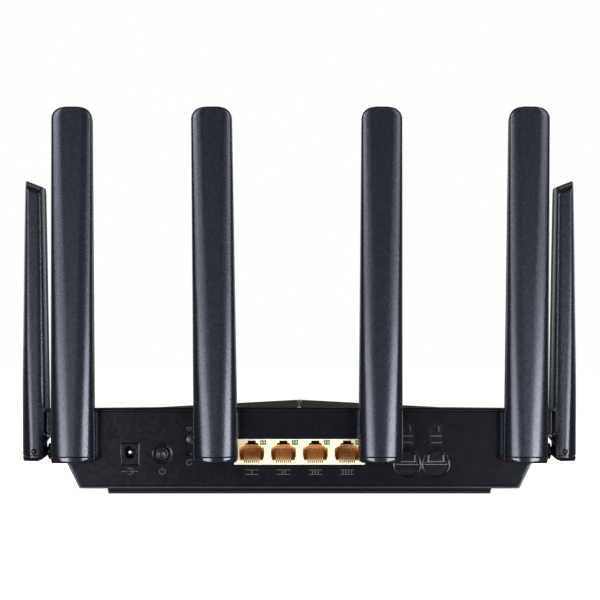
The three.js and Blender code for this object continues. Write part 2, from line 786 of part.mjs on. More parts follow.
place(body, "main_board", makeMainBoard(), "board");
place(body, "modem_module", makeModemModule(), "shield");
place(body, "wifi_shield", makeWifiShield(), "shield");
place(body, "port_block", makePortBlock(), "ivory");
portCentres().forEach((x, i) =>
  place(body, `port_contacts_${i + 1}`, makePortContacts(x), "gold"),
);
place(body, "dc_jack", makeJack(), "connector");
place(body, "dc_pin", makeJackPin(), "steel");

const powerCap = { radius: POWER_CAP_RADIUS, front: -1.8, stem: 8.8, stemRadius: 1.5 };
const wpsCap = { radius: WPS_CAP_RADIUS, front: PANEL_Y - 0.3, stem: 7.6, stemRadius: 0.9 };
const resetCap = { radius: RESET_CAP_RADIUS, front: PANEL_Y + 1.6, stem: 7.6, stemRadius: 0.7 };
place(body, "power_button", makeButton(POWER_AT, powerCap), "button");
place(body, "power_switch", makePowerSwitch(), "plastic");
place(body, "wps_button", makeButton(WPS_AT, wpsCap), "button");
place(body, "wps_switch", makeTactSwitch(WPS_AT), "plastic");
place(body, "reset_button", makeButton(RESET_AT, resetCap), "button");
place(body, "reset_switch", makeTactSwitch(RESET_AT), "plastic");
place(body, "button_board", makeButtonBoard(), "board");
CARD_SLOT_XS.forEach((x, i) => place(body, `sim_socket_${i + 1}`, makeCardSocket(x), "shield"));

function placeAntenna(name, at, turn, blade, wallDepth) {
  const antenna = new THREE.Group();
  antenna.position.set(at.x, at.y, at.z);
  antenna.rotation.set(0, turn.lean, turn.heading);
  body.add(antenna);
  place(antenna, `${name}_knuckle`, makeKnuckle(wallDepth), "antenna");
  place(antenna, `${name}_pin`, makePin(), "steel");
  place(antenna, `${name}_blade`, makeBlade(blade), "antenna");
  place(antenna, `${name}_radiator`, makeRadiator(blade), "copper");
}

const rearWall = PIN_STANDOFF + PANEL_Y + PANEL_THICKNESS;
REAR_ANTENNA_XS.forEach((x, i) => {
  const turn = { lean: THREE.MathUtils.degToRad(REAR_LEANS_DEG[i]), heading: 0 };
  const at = { x, y: -PIN_STANDOFF, z: REAR_PIN_HEIGHT };
  placeAntenna(`rear_antenna_${i + 1}`, at, turn, REAR_BLADE, rearWall);
});

const sidePinX = COVER_HALF_WIDTH + PIN_STANDOFF;
const sideWall = sidePinX - SIDE_BOSS_INNER_X;
for (const [label, side] of [["left", -1], ["right", 1]]) {
  const turn = { lean: 0, heading: (side * Math.PI) / 2 };
  const at = { x: side * sidePinX, y: SIDE_ANTENNA_Y, z: SIDE_PIN_HEIGHT };
  placeAntenna(`side_antenna_${label}`, at, turn, SIDE_BLADE, sideWall);
}

// Where each lead runs, from the hollow stub of its antenna to the radio that it feeds.
const leadStart = rearWall - PIN_STANDOFF + 1.6;
const sideLeadStart = SIDE_BOSS_INNER_X - 1.6;
const overShield = BOARD_TOP + 3.9;
const overModem = BOARD_TOP + 4.4;
const LEAD_ROUTES = [
  [
    [REAR_ANTENNA_XS[0], leadStart, REAR_PIN_HEIGHT],
    [REAR_ANTENNA_XS[0], 8.5, REAR_PIN_HEIGHT],
    [-107, 13, REAR_PIN_HEIGHT],
    [-94, 19, 20],
    [-80, 34, 20],
    [-66, 50, 19.5],
    [-58, 56, overShield],
  ],
  [
    [REAR_ANTENNA_XS[1], leadStart, REAR_PIN_HEIGHT],
    [REAR_ANTENNA_XS[1], 10, REAR_PIN_HEIGHT],
    [-41.5, 25, 20],
    [-43, 42, 20],
    [-43, 56, overShield],
  ],
  [
    [REAR_ANTENNA_XS[2], leadStart, REAR_PIN_HEIGHT],
    [REAR_ANTENNA_XS[2], 10, REAR_PIN_HEIGHT],
    [41, 25, 20.5],
    [41, 38, 20.5],
    [41, 47.5, overModem],
  ],
  [
    [REAR_ANTENNA_XS[3], leadStart, REAR_PIN_HEIGHT],
    [REAR_ANTENNA_XS[3], 8.5, REAR_PIN_HEIGHT],
    [107, 13, REAR_PIN_HEIGHT],
    [94, 19, 20],
    [80, 34, 20.5],
    [66, 46, 20],
    [59.5, 50, overModem],
  ],
  [
    [-sideLeadStart, SIDE_ANTENNA_Y, SIDE_PIN_HEIGHT],
    [-104, SIDE_ANTENNA_Y, SIDE_PIN_HEIGHT],
    [-88, 62, 20],
    [-70, 70, 20],
    [-58, 76, overShield],
  ],
  [
    [sideLeadStart, SIDE_ANTENNA_Y, SIDE_PIN_HEIGHT],
    [104, SIDE_ANTENNA_Y, SIDE_PIN_HEIGHT],
    [88, 62, 20.5],
    [70, 66, 20.5],
    [59.5, 68, overModem],
  ],
];
LEAD_ROUTES.forEach((route, i) => place(body, `antenna_lead_${i + 1}`, makeLead(route), "cable"));

export default router;
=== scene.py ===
"""Looks of a Wi-Fi router with six folding paddle antennas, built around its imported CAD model.

Shapes are made in millimetres and settled into the frame, which is in metres, at the end.
In the case's own millimetres the rear rim is the plane y = 0 and the floor is z = 0.
In an antenna's own millimetres the fold pin is the origin, +Y points at the case and +Z up the blade.
"""
import json
import math

import bmesh
import bpy
from mathutils import Matrix, Vector


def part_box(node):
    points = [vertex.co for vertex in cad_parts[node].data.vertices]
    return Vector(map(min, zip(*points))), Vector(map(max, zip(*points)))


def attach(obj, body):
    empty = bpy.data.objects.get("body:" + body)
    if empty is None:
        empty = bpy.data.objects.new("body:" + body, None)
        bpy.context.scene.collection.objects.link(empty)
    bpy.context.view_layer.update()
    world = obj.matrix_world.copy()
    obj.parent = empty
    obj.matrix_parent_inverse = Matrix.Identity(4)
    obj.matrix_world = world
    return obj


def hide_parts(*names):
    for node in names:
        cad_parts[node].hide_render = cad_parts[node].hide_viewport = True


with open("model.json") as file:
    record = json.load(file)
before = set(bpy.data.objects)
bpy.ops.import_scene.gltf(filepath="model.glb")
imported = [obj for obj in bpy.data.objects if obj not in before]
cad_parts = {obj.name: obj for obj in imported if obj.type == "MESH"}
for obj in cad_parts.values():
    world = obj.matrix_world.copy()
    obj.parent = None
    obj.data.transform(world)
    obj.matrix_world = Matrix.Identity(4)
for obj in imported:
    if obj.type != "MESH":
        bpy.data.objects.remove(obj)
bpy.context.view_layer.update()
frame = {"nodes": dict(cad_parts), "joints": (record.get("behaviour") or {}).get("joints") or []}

MM = 0.001
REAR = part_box("top_cover")[0].y  # the plane of the rear rim
WORLD = Matrix.Scale(MM, 4)
CASE = Matrix.Translation((0, REAR, 0)) @ WORLD


def span(node):
    """Lowest and highest corner of a CAD node, in the case's millimetres."""
    return [CASE.inverted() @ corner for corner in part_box(node)]


def middle(node):
    low, high = span(node)
    return (low + high) / 2


# ---- Sizes --------------------------------------------------------------------------------

COVER_HIGH = span("top_cover")[1]
BOARD_TOP = 14.45  # the upper face of the main board
FAR = 200  # past the case on either side

COVER_EDGE_RADIUS = 26  # front corners, seen from above
TRAY_EDGE_RADIUS = 28
COVER_BOTTOM = 28.75
TRAY_BOTTOM = 2.65
PLINTH_BOTTOM = 1.3
PLINTH_REACH = (1, 126)  # from the rear
PLINTH_HALF_WIDTH = 95.9
TRAY_HALF_WIDTHS = (110, 122.9)  # at its floor and under the cover
TRAY_FRONTS = (132, 144)
VENT_PITCH = 10
VENT_REACH = (45, 95)
WALL = 1.8
RIM = 1.3  # from the outside of the tray to the rear panel
COVER_RIM = 0.75
GAP = 0.1
SIDE_GAP = 1.3  # beside the panel, above the tray
RIM_FLARE = 0.21  # how far the rim leans outwards, over its width

ROOF_EDGE_MIDDLE = 43.4
ROOF_EDGE_SIDE = 42.85
ROOF_FACET_HALF_WIDTH = 70
ROOF_PEAK = (45, 46.4)  # distance from the rear, and height
ROOF_FRONT = COVER_HIGH.y + 2  # where the facets would end in front of the case
ROOF_FRONT_MIDDLE = 37
ROOF_FRONT_SIDE = 34
LIGHT_SLOT_HEIGHTS = (31, 32.8)  # of the slot for the light guide, in the front edge

PANEL_FACE = 0.5
PANEL_BACK = 2.7
PANEL_SEAT = 3.3  # how deep the case is open for the panel
PANEL_KNEE = 30.2
PANEL_TOP = 41.1
PANEL_BOTTOM = 3.9
PANEL_HALF_WIDTH = 126.4

PORT_XS = [middle(f"port_contacts_{i}").x for i in (1, 2, 3, 4)]
PORT_FACE = 0.3
PORT_DEPTH = 12.7
CONTACT_PITCH = 1.016
LIGHT_XS = (4.1, 7.3)  # of a port's light window, from the middle of the port
LIGHT_ZS = (24.5, 26.8)

ANTENNAS = ["rear_antenna_1", "rear_antenna_2", "rear_antenna_3", "rear_antenna_4",
            "side_antenna_left", "side_antenna_right"]
PIN_STANDOFF = 9
BOSS_FACE = -0.8
BOSS_RADIUS = 6.5
STUB_HOLE = 2.9  # radius of the hole that an antenna's stub turns in
BLADE_BELOW = 5
BLADE_WIDTHS = (22, 20.3)  # at the pin's end and at the tip
BLADE_OUTERS = (6.7, 5.4)
BLADE_INNERS = (7.5, 4.9)
BLADE_CORNER = 5.3
BLADE_TOP_SLANT = 3.6
BLADE_SEAM = -2.05  # height of the seam between the blade and its end cap
BLADE_FILLET = 0.6
END_CAP_FILLET = 0.7
END_CAP_CORNER = 2.2
END_CAP_LEAN = 0.04  # the band above the fillet faces down by so much
BULGES = (2.3, 10)  # how square the outer face is, at the pin's end and at the tip
CROWN = 1.1  # height of the arc across the upper part of the outer face
HINGE_SLOT = 4.6  # half the width of the slot that holds the knuckle
PIN_HOLE = 1.38  # radius in the blade
KNUCKLE_BORE = 1.5  # radius round the same pin, which the knuckle turns on freely


# ---- Mesh kit -----------------------------------------------------------------------------


def mix(a, b, share):
    return a + (b - a) * share


def smooth(share):
    share = min(1, max(0, share))
    return share * share * (3 - 2 * share)


def solid(points, faces):
    """A closed shape from its points, in millimetres, and its faces."""
    mesh = bpy.data.meshes.new("shape")
    mesh.from_pydata(points, [], faces)
    shape = bpy.data.objects.new("shape", mesh)
    bpy.context.scene.collection.objects.link(shape)
    work = bmesh.new()
    work.from_mesh(mesh)
    bmesh.ops.recalc_face_normals(work, faces=work.faces)
    work.to_mesh(mesh)
    work.free()
    return shape


def loft(rings):
    """A closed skin over rings of points, each with the same number of points."""
    count = len(rings[0])
    faces = [list(range(count)), [len(rings) * count - 1 - i for i in range(count)]]
    for ring in range(len(rings) - 1):
        for i in range(count):
            a, b = ring * count + i, ring * count + (i + 1) % count
            faces.append([a, b, b + count, a + count])
    return solid([point for ring in rings for point in ring], faces)


# Which coordinates the two of an outline become, and which one is the length.
ALONG = {"x": (1, 2, 0), "y": (0, 2, 1), "z": (0, 1, 2)}


def spot(u, v, length, axis):
    point = [0, 0, 0]
    for place, value in zip(ALONG[axis], (u, v, length)):
        point[place] = value
    return tuple(point)


def prism(outline, low, high, axis="y"):
    return loft([[spot(u, v, at, axis) for u, v in outline] for at in (low, high)])


def block(xs, ys, zs):
    return prism([(xs[0], zs[0]), (xs[1], zs[0]), (xs[1], zs[1]), (xs[0], zs[1])], *ys)


def circle(centre, radius, steps=48, start=0.0, end=360.0):
    """Points round a circle, or along an arc when it doesn't go all the way round."""
    closed = end - start >= 360
    count = steps if closed else steps + 1
    angles = [math.radians(start + (end - start) * i / steps) for i in range(count)]
    return [(centre[0] + radius * math.cos(a), centre[1] + radius * math.sin(a)) for a in angles]


def rod(centre, radius, low, high, axis="y", steps=48):
    return prism(circle(centre, radius, steps), low, high, axis)


def turned(profile, centre, axis="y", steps=48):
    """A body of revolution from (radius, place along the axis) points that start and end on the axis."""
    rings = [[spot(u, v, at, axis) for u, v in circle(centre, max(radius, 1e-4), steps)]
             for radius, at in profile]
    shape = loft(rings)
    weld(shape, 1e-3)
    return shape


def weld(shape, distance):
    work = bmesh.new()
    work.from_mesh(shape.data)
    bmesh.ops.remove_doubles(work, verts=work.verts, dist=distance)
    bmesh.ops.dissolve_degenerate(work, edges=work.edges, dist=distance / 10)
    bmesh.ops.recalc_face_normals(work, faces=work.faces)
    work.to_mesh(shape.data)
    work.free()


def bake(shape):
    """Applies a shape's modifiers."""
    bpy.context.view_layer.update()
    mesh = bpy.data.meshes.new_from_object(
        shape.evaluated_get(bpy.context.evaluated_depsgraph_get()))
    shape.modifiers.clear()
    shape.data = mesh
    return shape


def combine(operation, body, others):
    for other in others:
        step = body.modifiers.new(operation, "BOOLEAN")
        step.operation = operation
        step.solver = "EXACT"
        step.object = other
        bake(body)
        bpy.data.objects.remove(other)
    return body


def join(body, *others):
    return combine("UNION", body, others)


def cut(body, *others):
    return combine("DIFFERENCE", body, others)


def common(body, *others):
    return combine("INTERSECT", body, others)


def gather(shapes):
    """Shapes that don't meet, as one shape. All but the first are used up."""
    first = shapes[0]
    for other in shapes[1:]:
        work = bmesh.new()
        work.from_mesh(first.data)
        work.from_mesh(other.data)
        first.data = bpy.data.meshes.new("shape")
        work.to_mesh(first.data)
        work.free()
        bpy.data.objects.remove(other)
    return first


def soften(shape, width, segments=2, angle=35):
    """Rounds every edge that is sharper than the angle."""
    work = bmesh.new()
    work.from_mesh(shape.data)
    bmesh.ops.remove_doubles(work, verts=work.verts, dist=0.003)
    bmesh.ops.dissolve_limit(work, angle_limit=math.radians(0.4), verts=work.verts, edges=work.edges)
    work.to_mesh(shape.data)
    work.free()
    bevel = shape.modifiers.new("soften", "BEVEL")
    bevel.width = width
    bevel.segments = segments
    bevel.limit_method = "ANGLE"
    bevel.angle_limit = math.radians(angle)
    bevel.use_clamp_overlap = False
    return bake(shape)


def paint(shape, coat, chosen):
    """Gives another material to the faces whose centre and normal, in millimetres, are chosen."""
    shape.data.materials.append(coat)
    index = len(shape.data.materials) - 1
    for face in shape.data.polygons:
        if chosen(face.center, face.normal):
            face.material_index = index


def settle(shape, name, body, coat, nodes=(), placing=CASE, crease=32, parts=()):
    """Puts a finished shape into the frame as a piece of the object."""
    shape.name = name
    shape.data.name = name
    shape.data.materials.append(coat)
    for other, chosen in parts:
        paint(shape, other, chosen)
    shape.data.transform(placing)
    shape.data.shade_smooth()
    shape.data.set_sharp_from_angle(angle=math.radians(crease))
    weigh = shape.modifiers.new("weigh", "WEIGHTED_NORMAL")
    weigh.keep_sharp = True
    bake(shape)
    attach(shape, body)
    if nodes:
        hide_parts(*nodes)
    return shape


def from_node(node):
    """A shape with the form of a CAD node, in millimetres of the frame."""
    mesh = frame["nodes"][node].data
    points = [tuple(vertex.co / MM) for vertex in mesh.vertices]
    shape = solid(points, [list(face.vertices) for face in mesh.polygons])
    weld(shape, 2e-3)
    return shape


def refine(node, coat, width, body="case", parts=()):
    """A CAD node with its edges rounded as a moulded or stamped piece has them."""
    shape = soften(from_node(node), width)
    return settle(shape, f"{node}_finished", body, coat, [node], WORLD, parts=parts)


# ---- Materials ----------------------------------------------------------------------------

BLUISH = (0.80, 0.85, 1.0, 1)


class Surface:
    """A material under construction: a Principled shader and the textures that feed it."""

    def __init__(self, name, colour, roughness, **sockets):
        self.material = bpy.data.materials.new(name)
        self.material.use_nodes = True
        self.nodes = self.material.node_tree.nodes
        self.links = self.material.node_tree.links
        self.shader = self.nodes["Principled BSDF"]
        self.place = self.nodes.new("ShaderNodeTexCoord").outputs["Object"]
        self.colour = colour
        self.roughness = roughness
        self.height = None
        self.shader.inputs["Base Color"].default_value = (*colour, 1)
        self.shader.inputs["Roughness"].default_value = roughness
        for socket, value in sockets.items():
            self.shader.inputs[socket.replace("_", " ")].default_value = value

    def node(self, kind, **settings):
        made = self.nodes.new(kind)
        for name, value in settings.items():
            setattr(made, name, value)
        return made

    def scaled(self, scale):
        mapping = self.node("ShaderNodeMapping")
        mapping.inputs["Scale"].default_value = scale
        self.links.new(self.place, mapping.inputs["Vector"])
        return mapping.outputs["Vector"]

    def noise(self, size, detail=2.0, stretch=(1, 1, 1)):
        """Noise whose lumps are about size millimetres across."""
        made = self.node("ShaderNodeTexNoise")
        made.inputs["Scale"].default_value = 1 / (size * MM)
        made.inputs["Detail"].default_value = detail
        self.links.new(self.scaled(stretch), made.inputs["Vector"])
        return made.outputs["Fac"]

    def spread(self, factor, low, high, start=0.3, end=0.7):
        ranged = self.node("ShaderNodeMapRange")
        self.links.new(factor, ranged.inputs["Value"])
        for socket, value in (("From Min", start), ("From Max", end), ("To Min", low), ("To Max", high)):
            ranged.inputs[socket].default_value = value
        return ranged.outputs["Result"]

    def tint(self, factor, other):
        """Blends the colour so far towards another where the factor is high."""
        blend = self.node("ShaderNodeMix", data_type="RGBA")
        self.links.new(factor, blend.inputs["Factor"])
        base = self.shader.inputs["Base Color"]
        if base.is_linked:
            self.links.new(base.links[0].from_socket, blend.inputs[6])
        else:
            blend.inputs[6].default_value = base.default_value
        blend.inputs[7].default_value = (*other, 1)
        self.links.new(blend.outputs[2], base)
        return self

    def mottle(self, size, amount):
        other = [channel * (1 + amount) for channel in self.colour]
        return self.tint(self.spread(self.noise(size), 0, 1), other)

    def gloss(self, size, amount, stretch=(1, 1, 1)):
        factor = self.noise(size, stretch=stretch)
        low, high = max(0.02, self.roughness - amount), min(1, self.roughness + amount)
        self.links.new(self.spread(factor, low, high), self.shader.inputs["Roughness"])
        return self

    def emboss(self, factor, depth, strength=1.0):
        """Raises the surface by the factor, to a depth in millimetres."""
        bump = self.node("ShaderNodeBump")
        bump.inputs["Strength"].default_value = strength
        bump.inputs["Distance"].default_value = depth * MM
        self.links.new(factor, bump.inputs["Height"])
        normal = self.shader.inputs["Normal"]
        if normal.is_linked:
            self.links.new(normal.links[0].from_socket, bump.inputs["Normal"])
        self.links.new(bump.outputs["Normal"], normal)
        return self

    def grain(self, size, depth, strength=1.0):
        return self.emboss(self.noise(size, detail=1.0), depth, strength)


def moulded(name, colour, roughness, grain=0.45, depth=0.012, **sockets):
    """Moulded plastic: spark-eroded grain, faint cloudiness and slightly uneven gloss."""
    surface = Surface(name, colour, roughness, **sockets)
    surface.mottle(6, 0.1).gloss(2, 0.02).grain(grain, depth)
    return surface


def metal(name, colour, roughness, brushed=(1, 1, 1), **sockets):
    surface = Surface(name, colour, roughness, Metallic=1.0, **sockets)
    surface.mottle(3, -0.12).gloss(0.8, 0.08, brushed)
    return surface.emboss(surface.noise(0.25, stretch=brushed), 0.003)


def make_materials():
    made = {
        "antenna": moulded("antenna plastic", (0.005, 0.0055, 0.0095), 0.265, 0.45, 0.011,
                           Specular_Tint=BLUISH),
        "cap": moulded("antenna end cap", (0.009, 0.009, 0.013), 0.17, 0.6, 0.002, Specular_Tint=BLUISH),
        "cover": moulded("cover plastic", (0.006, 0.0062, 0.008), 0.33, 0.4, 0.006),
        "tray": moulded("tray plastic", (0.006, 0.0063, 0.009), 0.32, 0.4, 0.01, Specular_Tint=BLUISH),
        "panel": moulded("panel plastic", (0.003, 0.0032, 0.0050), 0.17, 0.4, 0.004, Specular_Tint=BLUISH),
        "button": moulded("button plastic", (0.007, 0.007, 0.009), 0.30, 0.3, 0.004,
                          Specular_IOR_Level=0.3),
        "black": moulded("black nylon", (0.002, 0.002, 0.002), 0.5, 0.3, 0.004),
        "grey": moulded("grey button plastic", (0.07, 0.07, 0.074), 0.40, 0.3, 0.004),
        "connector": moulded("connector plastic", (0.003, 0.0032, 0.0050), 0.17, 0.4, 0.004,
                             Specular_Tint=BLUISH),
        # Darker and duller than the panel plastic: painted shade in the card recesses.
        "recess": moulded("recess plastic, painted shade", (0.002, 0.002, 0.003), 0.25, 0.4, 0.006, Specular_IOR_Level=0.3,
                          Specular_Tint=BLUISH),
        # A light grey for the slot lips: a painted highlight for the light their edges catch.
        "lip": moulded("slot lip, painted highlight", (0.060, 0.062, 0.070), 0.45, 0.4, 0.004),
        "switch": moulded("switch plastic", (0.012, 0.012, 0.013), 0.4, 0.3, 0.004),
        "ivory": moulded("ivory nylon", (0.74, 0.64, 0.45), 0.42, 0.5, 0.006),
        "amber": moulded("amber nylon", (0.66, 0.31, 0.055), 0.35, 0.5, 0.006),
        # A darker copy of the amber: painted shade for the comb between the contact springs.
        "comb": moulded("amber nylon, painted shade between the springs", (0.36, 0.16, 0.035), 0.35, 0.5, 0.006),
        "slot": moulded("amber nylon in shade", (0.10, 0.045, 0.012), 0.4, 0.5, 0.006),
        "ink": moulded("pad printed ink", (0.036, 0.036, 0.040), 0.55, 0.2, 0.002),
        "faint_ink": moulded("worn ink", (0.016, 0.016, 0.018), 0.55, 0.2, 0.002),
        "patch": moulded("gloss print", (0.002, 0.002, 0.003), 0.2, 0.5, 0.001),
        "inlay": moulded("gloss inlay", (0.42, 0.43, 0.46), 0.12, 0.5, 0.001, Metallic=0.6),
        "rubber": moulded("foot rubber", (0.010, 0.010, 0.011), 0.72, 0.25, 0.02, Specular_IOR_Level=0.2),
        "cable": moulded("coaxial jacket", (0.06, 0.06, 0.065), 0.45, 0.5, 0.006),
        "steel": metal("plated steel", (0.62, 0.63, 0.65), 0.25),
        "black_steel": metal("blackened steel", (0.03, 0.03, 0.034), 0.4),
        "tin": metal("tin plate", (0.56, 0.57, 0.58), 0.33, (1, 8, 8)),
        "gold": moulded("contact gold", (0.90, 0.60, 0.26), 0.35, 0.5, 0.002, Metallic=0.35),
        "pin": metal("turned contact", (0.72, 0.70, 0.66), 0.5),
    }
    made["led"] = moulded("green light window", (0.025, 0.10, 0.025), 0.22, 0.5, 0.002,
                          Transmission_Weight=0.25)
    made["led_core"] = moulded("light pipe", (0.26, 0.48, 0.20), 0.2, 0.5, 0.002)
    made["lens"] = moulded("light guide", (0.72, 0.76, 0.78), 0.18, 0.5, 0.002,
                           Transmission_Weight=0.5)
    board = Surface("solder mask", (0.006, 0.055, 0.022), 0.35)
    tracks = board.node("ShaderNodeTexBrick")
    tracks.inputs["Scale"].default_value = 1 / (3 * MM)
    tracks.inputs["Mortar Size"].default_value = 0.06
    board.links.new(board.place, tracks.inputs["Vector"])
    board.tint(tracks.outputs["Fac"], (0.02, 0.12, 0.05))
    board.emboss(tracks.outputs["Fac"], 0.02).mottle(20, 0.2)
    made["board"] = board
    copper = Surface("copper laminate", (0.010, 0.035, 0.016), 0.4)
    bars = copper.node("ShaderNodeTexWave", wave_type="BANDS", bands_direction="Z")
    bars.inputs["Scale"].default_value = 1 / (22 * MM)
    copper.links.new(copper.place, bars.inputs["Vector"])
    copper.tint(copper.spread(bars.outputs["Fac"], 0, 1, 0.45, 0.55), (0.55, 0.26, 0.12))
    made["radiator"] = copper
    return {name: surface.material for name, surface in made.items()}


COATS = make_materials()


# ---- Case ---------------------------------------------------------------------------------

def tray_half_width(z):
    return mix(*TRAY_HALF_WIDTHS, (z - TRAY_BOTTOM) / (COVER_BOTTOM - TRAY_BOTTOM))


def tray_front(z):
    return mix(*TRAY_FRONTS, (z - TRAY_BOTTOM) / (COVER_BOTTOM - TRAY_BOTTOM))


def plan(half_width, rear, front, radius, z, steps=20):
    """The outline of the case seen from above: square at the rear, round at the front corners."""
    right = circle((half_width - radius, front - radius), radius, steps, 0, 90)
    left = circle((radius - half_width, front - radius), radius, steps, 90, 180)
    return [(x, y, z) for x, y in [(half_width, rear), *right, *left, (-half_width, rear)]]


def under_roof(drop):
    """The space under the faceted roof, lowered by drop."""
    reach, rear, front = COVER_HIGH.x + 2, 0, ROOF_FRONT
    edge = [
        (-reach, rear, ROOF_EDGE_SIDE), (-ROOF_FACET_HALF_WIDTH, rear, ROOF_EDGE_MIDDLE),
        (ROOF_FACET_HALF_WIDTH, rear, ROOF_EDGE_MIDDLE), (reach, rear, ROOF_EDGE_SIDE),
        (reach, front, ROOF_FRONT_SIDE), (0, front, ROOF_FRONT_MIDDLE), (-reach, front, ROOF_FRONT_SIDE),
    ]
    count = len(edge)
    points = [(x, y, z - drop) for x, y, z in edge] + [(x, y, 0) for x, y, z in edge]
    points.append((0, ROOF_PEAK[0], ROOF_PEAK[1] - drop))
    peak = 2 * count
    faces = [[1, 2, peak], [2, 5, peak], [5, 1, peak], [0, 1, 6], [1, 5, 6], [2, 3, 4], [2, 4, 5],
             list(range(count, 2 * count))]
    for i in range(count):
        following = (i + 1) % count
        faces.append([i, following, following + count, i + count])
    return solid(points, faces)


def roof_height(y):
    """Height of the roof along its spine."""
    if y < ROOF_PEAK[0]:
        return mix(ROOF_EDGE_MIDDLE, ROOF_PEAK[1], y / ROOF_PEAK[0])
    return mix(ROOF_PEAK[1], ROOF_FRONT_MIDDLE, (y - ROOF_PEAK[0]) / (ROOF_FRONT - ROOF_PEAK[0]))


def along_spine(half_width, rear, front, below, above):
    stations = [rear, ROOF_PEAK[0], front]
    upper = [(y, roof_height(y) + above) for y in stations]
    lower = [(y, roof_height(y) - below) for y in reversed(stations)]
    return prism(upper + lower, -half_width, half_width, "x")


def panel_outline(gap, side_gap=None):
    """The outline of the rear panel, grown by a gap on every side."""
    side_gap = gap if side_gap is None else side_gap
    low, knee = PANEL_BOTTOM - gap, PANEL_KNEE - gap
    right = [
        (tray_half_width(low) - RIM + gap, low), (tray_half_width(knee) - RIM + gap, knee),
        (PANEL_HALF_WIDTH + side_gap, knee), (PANEL_HALF_WIDTH + side_gap, PANEL_TOP + gap + 0.2),
    ]
    return right + [(-x, z) for x, z in reversed(right)]


def flare(low, high, width):
    """The space in front of a rear rim that leans outwards. Low and high are (half width, height)."""
    rings = []
    lean = RIM_FLARE * width
    for half_width, z in (low, high):
        outside = half_width + 9
        right = [(half_width - width, 0), (half_width, lean), (outside, lean), (outside, 170)]
        rings.append([(x, y, z) for x, y in right + [(-x, y) for x, y in reversed(right)]])
    return loft(rings)


def crease_roof(shape):
    """Keeps the folds between the facets of the roof crisp."""
    work = bmesh.new()
    work.from_mesh(shape.data)
    for edge in work.edges:
        sides = [face.normal.z > 0.985 for face in edge.link_faces]
        if all(sides) and edge.calc_face_angle(0) > math.radians(0.5):
            edge.smooth = False
    work.to_mesh(shape.data)
    work.free()


def make_top_cover():
    """The upper shell under its faceted roof, open at the rear for the panel."""
    width, front = COVER_HIGH.x, COVER_HIGH.y

    def shell(inset, rear, low):
        return loft([plan(width - inset, rear, front - inset, COVER_EDGE_RADIUS - inset, z)
                     for z in (low, 60)])

    outside = soften(common(shell(0, -4, COVER_BOTTOM), under_roof(0)), 1.3, 4, 50)
    outside = cut(outside, block((-FAR, FAR), (-9, 0), (0, 90)))
    outside = common(outside, flare((width, 0), (width, 90), COVER_RIM))
    opening = common(prism(panel_outline(GAP, SIDE_GAP), -1, PANEL_SEAT),
                     block((-FAR, FAR), (-2, 20), (PANEL_KNEE - GAP, 60)))
    cover = cut(
        outside,
        common(shell(WALL, WALL, 10), under_roof(WALL)),
        opening,
        block((-PANEL_HALF_WIDTH - GAP, PANEL_HALF_WIDTH + GAP), (-2, WALL + 1), (10, PANEL_KNEE)),
        along_spine(half_width=0.8, rear=0.4, front=front - 3, below=1.2, above=2),
        block((-20, 20), (front - 6, front + 1), LIGHT_SLOT_HEIGHTS),
    )
    soften(cover, 0.3, 2, 40)
    crease_roof(cover)

    # The rear-facing faces of the rim take the darker, glossier panel coat: partly a glossier finish, partly
    # painted shade on that side.
    def on_rim_painted_shade(centre, normal):
        return normal.y < -0.9

    settle(cover, "cover_shell", "case", COATS["cover"], ["top_cover"],
           parts=[(COATS["panel"], on_rim_painted_shade)])


def make_spine_strip():
    strip = along_spine(half_width=0.7, rear=0.5, front=COVER_HIGH.y - 3.2, below=1, above=0.02)
    soften(strip, 0.12, 2, 50)
    settle(strip, "spine_inlay", "case", COATS["inlay"], ["spine_strip"])


def make_tray():
    """The lower shell: sloped sides, a plinth, side bosses, screw seats and the vents in its floor."""
    def ring(inset, rear, z):
        return plan(tray_half_width(z) - inset, rear, tray_front(z) - inset, TRAY_EDGE_RADIUS - inset, z)

    outside = soften(loft([ring(0, -4, TRAY_BOTTOM), ring(0, -4, COVER_BOTTOM)]), 0.5, 3, 50)
    outside = common(outside, flare((tray_half_width(0), 0), (tray_half_width(40), 40), RIM))
    inset = WALL + 0.4
    flange = loft([plan(COVER_HIGH.x - inset, 0.6, COVER_HIGH.y - inset, COVER_EDGE_RADIUS - inset, z)
                   for z in (COVER_BOTTOM - 0.6, COVER_BOTTOM + 2)])
    inside = loft([ring(WALL, -2, TRAY_BOTTOM + WALL), ring(WALL, -2, COVER_BOTTOM + 4)])
    plinth = block((-PLINTH_HALF_WIDTH, PLINTH_HALF_WIDTH), PLINTH_REACH, (PLINTH_BOTTOM, TRAY_BOTTOM + 0.5))
    soften(plinth, 0.35, 3)
    tray = cut(join(outside, flange), inside)
    tray = join(tray, plinth)
    for pin in (middle("side_antenna_left_pin"), middle("side_antenna_right_pin")):
        side = math.copysign(1, pin.x)
        reach = sorted([side * 113, pin.x - side * (PIN_STANDOFF + BOSS_FACE)])
        tray = join(tray, rod((pin.y, pin.z), BOSS_RADIUS, *reach, axis="x"))
        tray = cut(tray, rod((pin.y, pin.z), STUB_HOLE, *sorted([side * 100, side * 140]), axis="x"))
    tray = cut(tray, prism(panel_outline(GAP), -1, PANEL_SEAT))
    for i in range(1, 5):
        screw = middle(f"case_screw_{i}")
        seat = rod((screw.x, screw.y), 4.5, TRAY_BOTTOM + 0.5, 7.5, "z")
        hole = join(rod((screw.x, screw.y), 3, 2, 4.8, "z"), rod((screw.x, screw.y), 1.7, 4, 8, "z", 24))
        tray = cut(join(tray, seat), hole)
    for vent in range(-5, 6):
        x = vent * VENT_PITCH
        tray = cut(tray, block((x - 1, x + 1), VENT_REACH, (0, 6)))
    soften(tray, 0.25, 2, 40)

    # The plinth's rear face takes the darker panel coat: painted shade, for the shadow under the tray.
    def on_plinth_painted_shade(centre, normal):
        return centre.z < TRAY_BOTTOM and normal.y < -0.9

    settle(tray, "tray_shell", "case", COATS["tray"], ["bottom_case"],
           parts=[(COATS["panel"], on_plinth_painted_shade)])


# ---- Rear panel ---------------------------------------------------------------------------

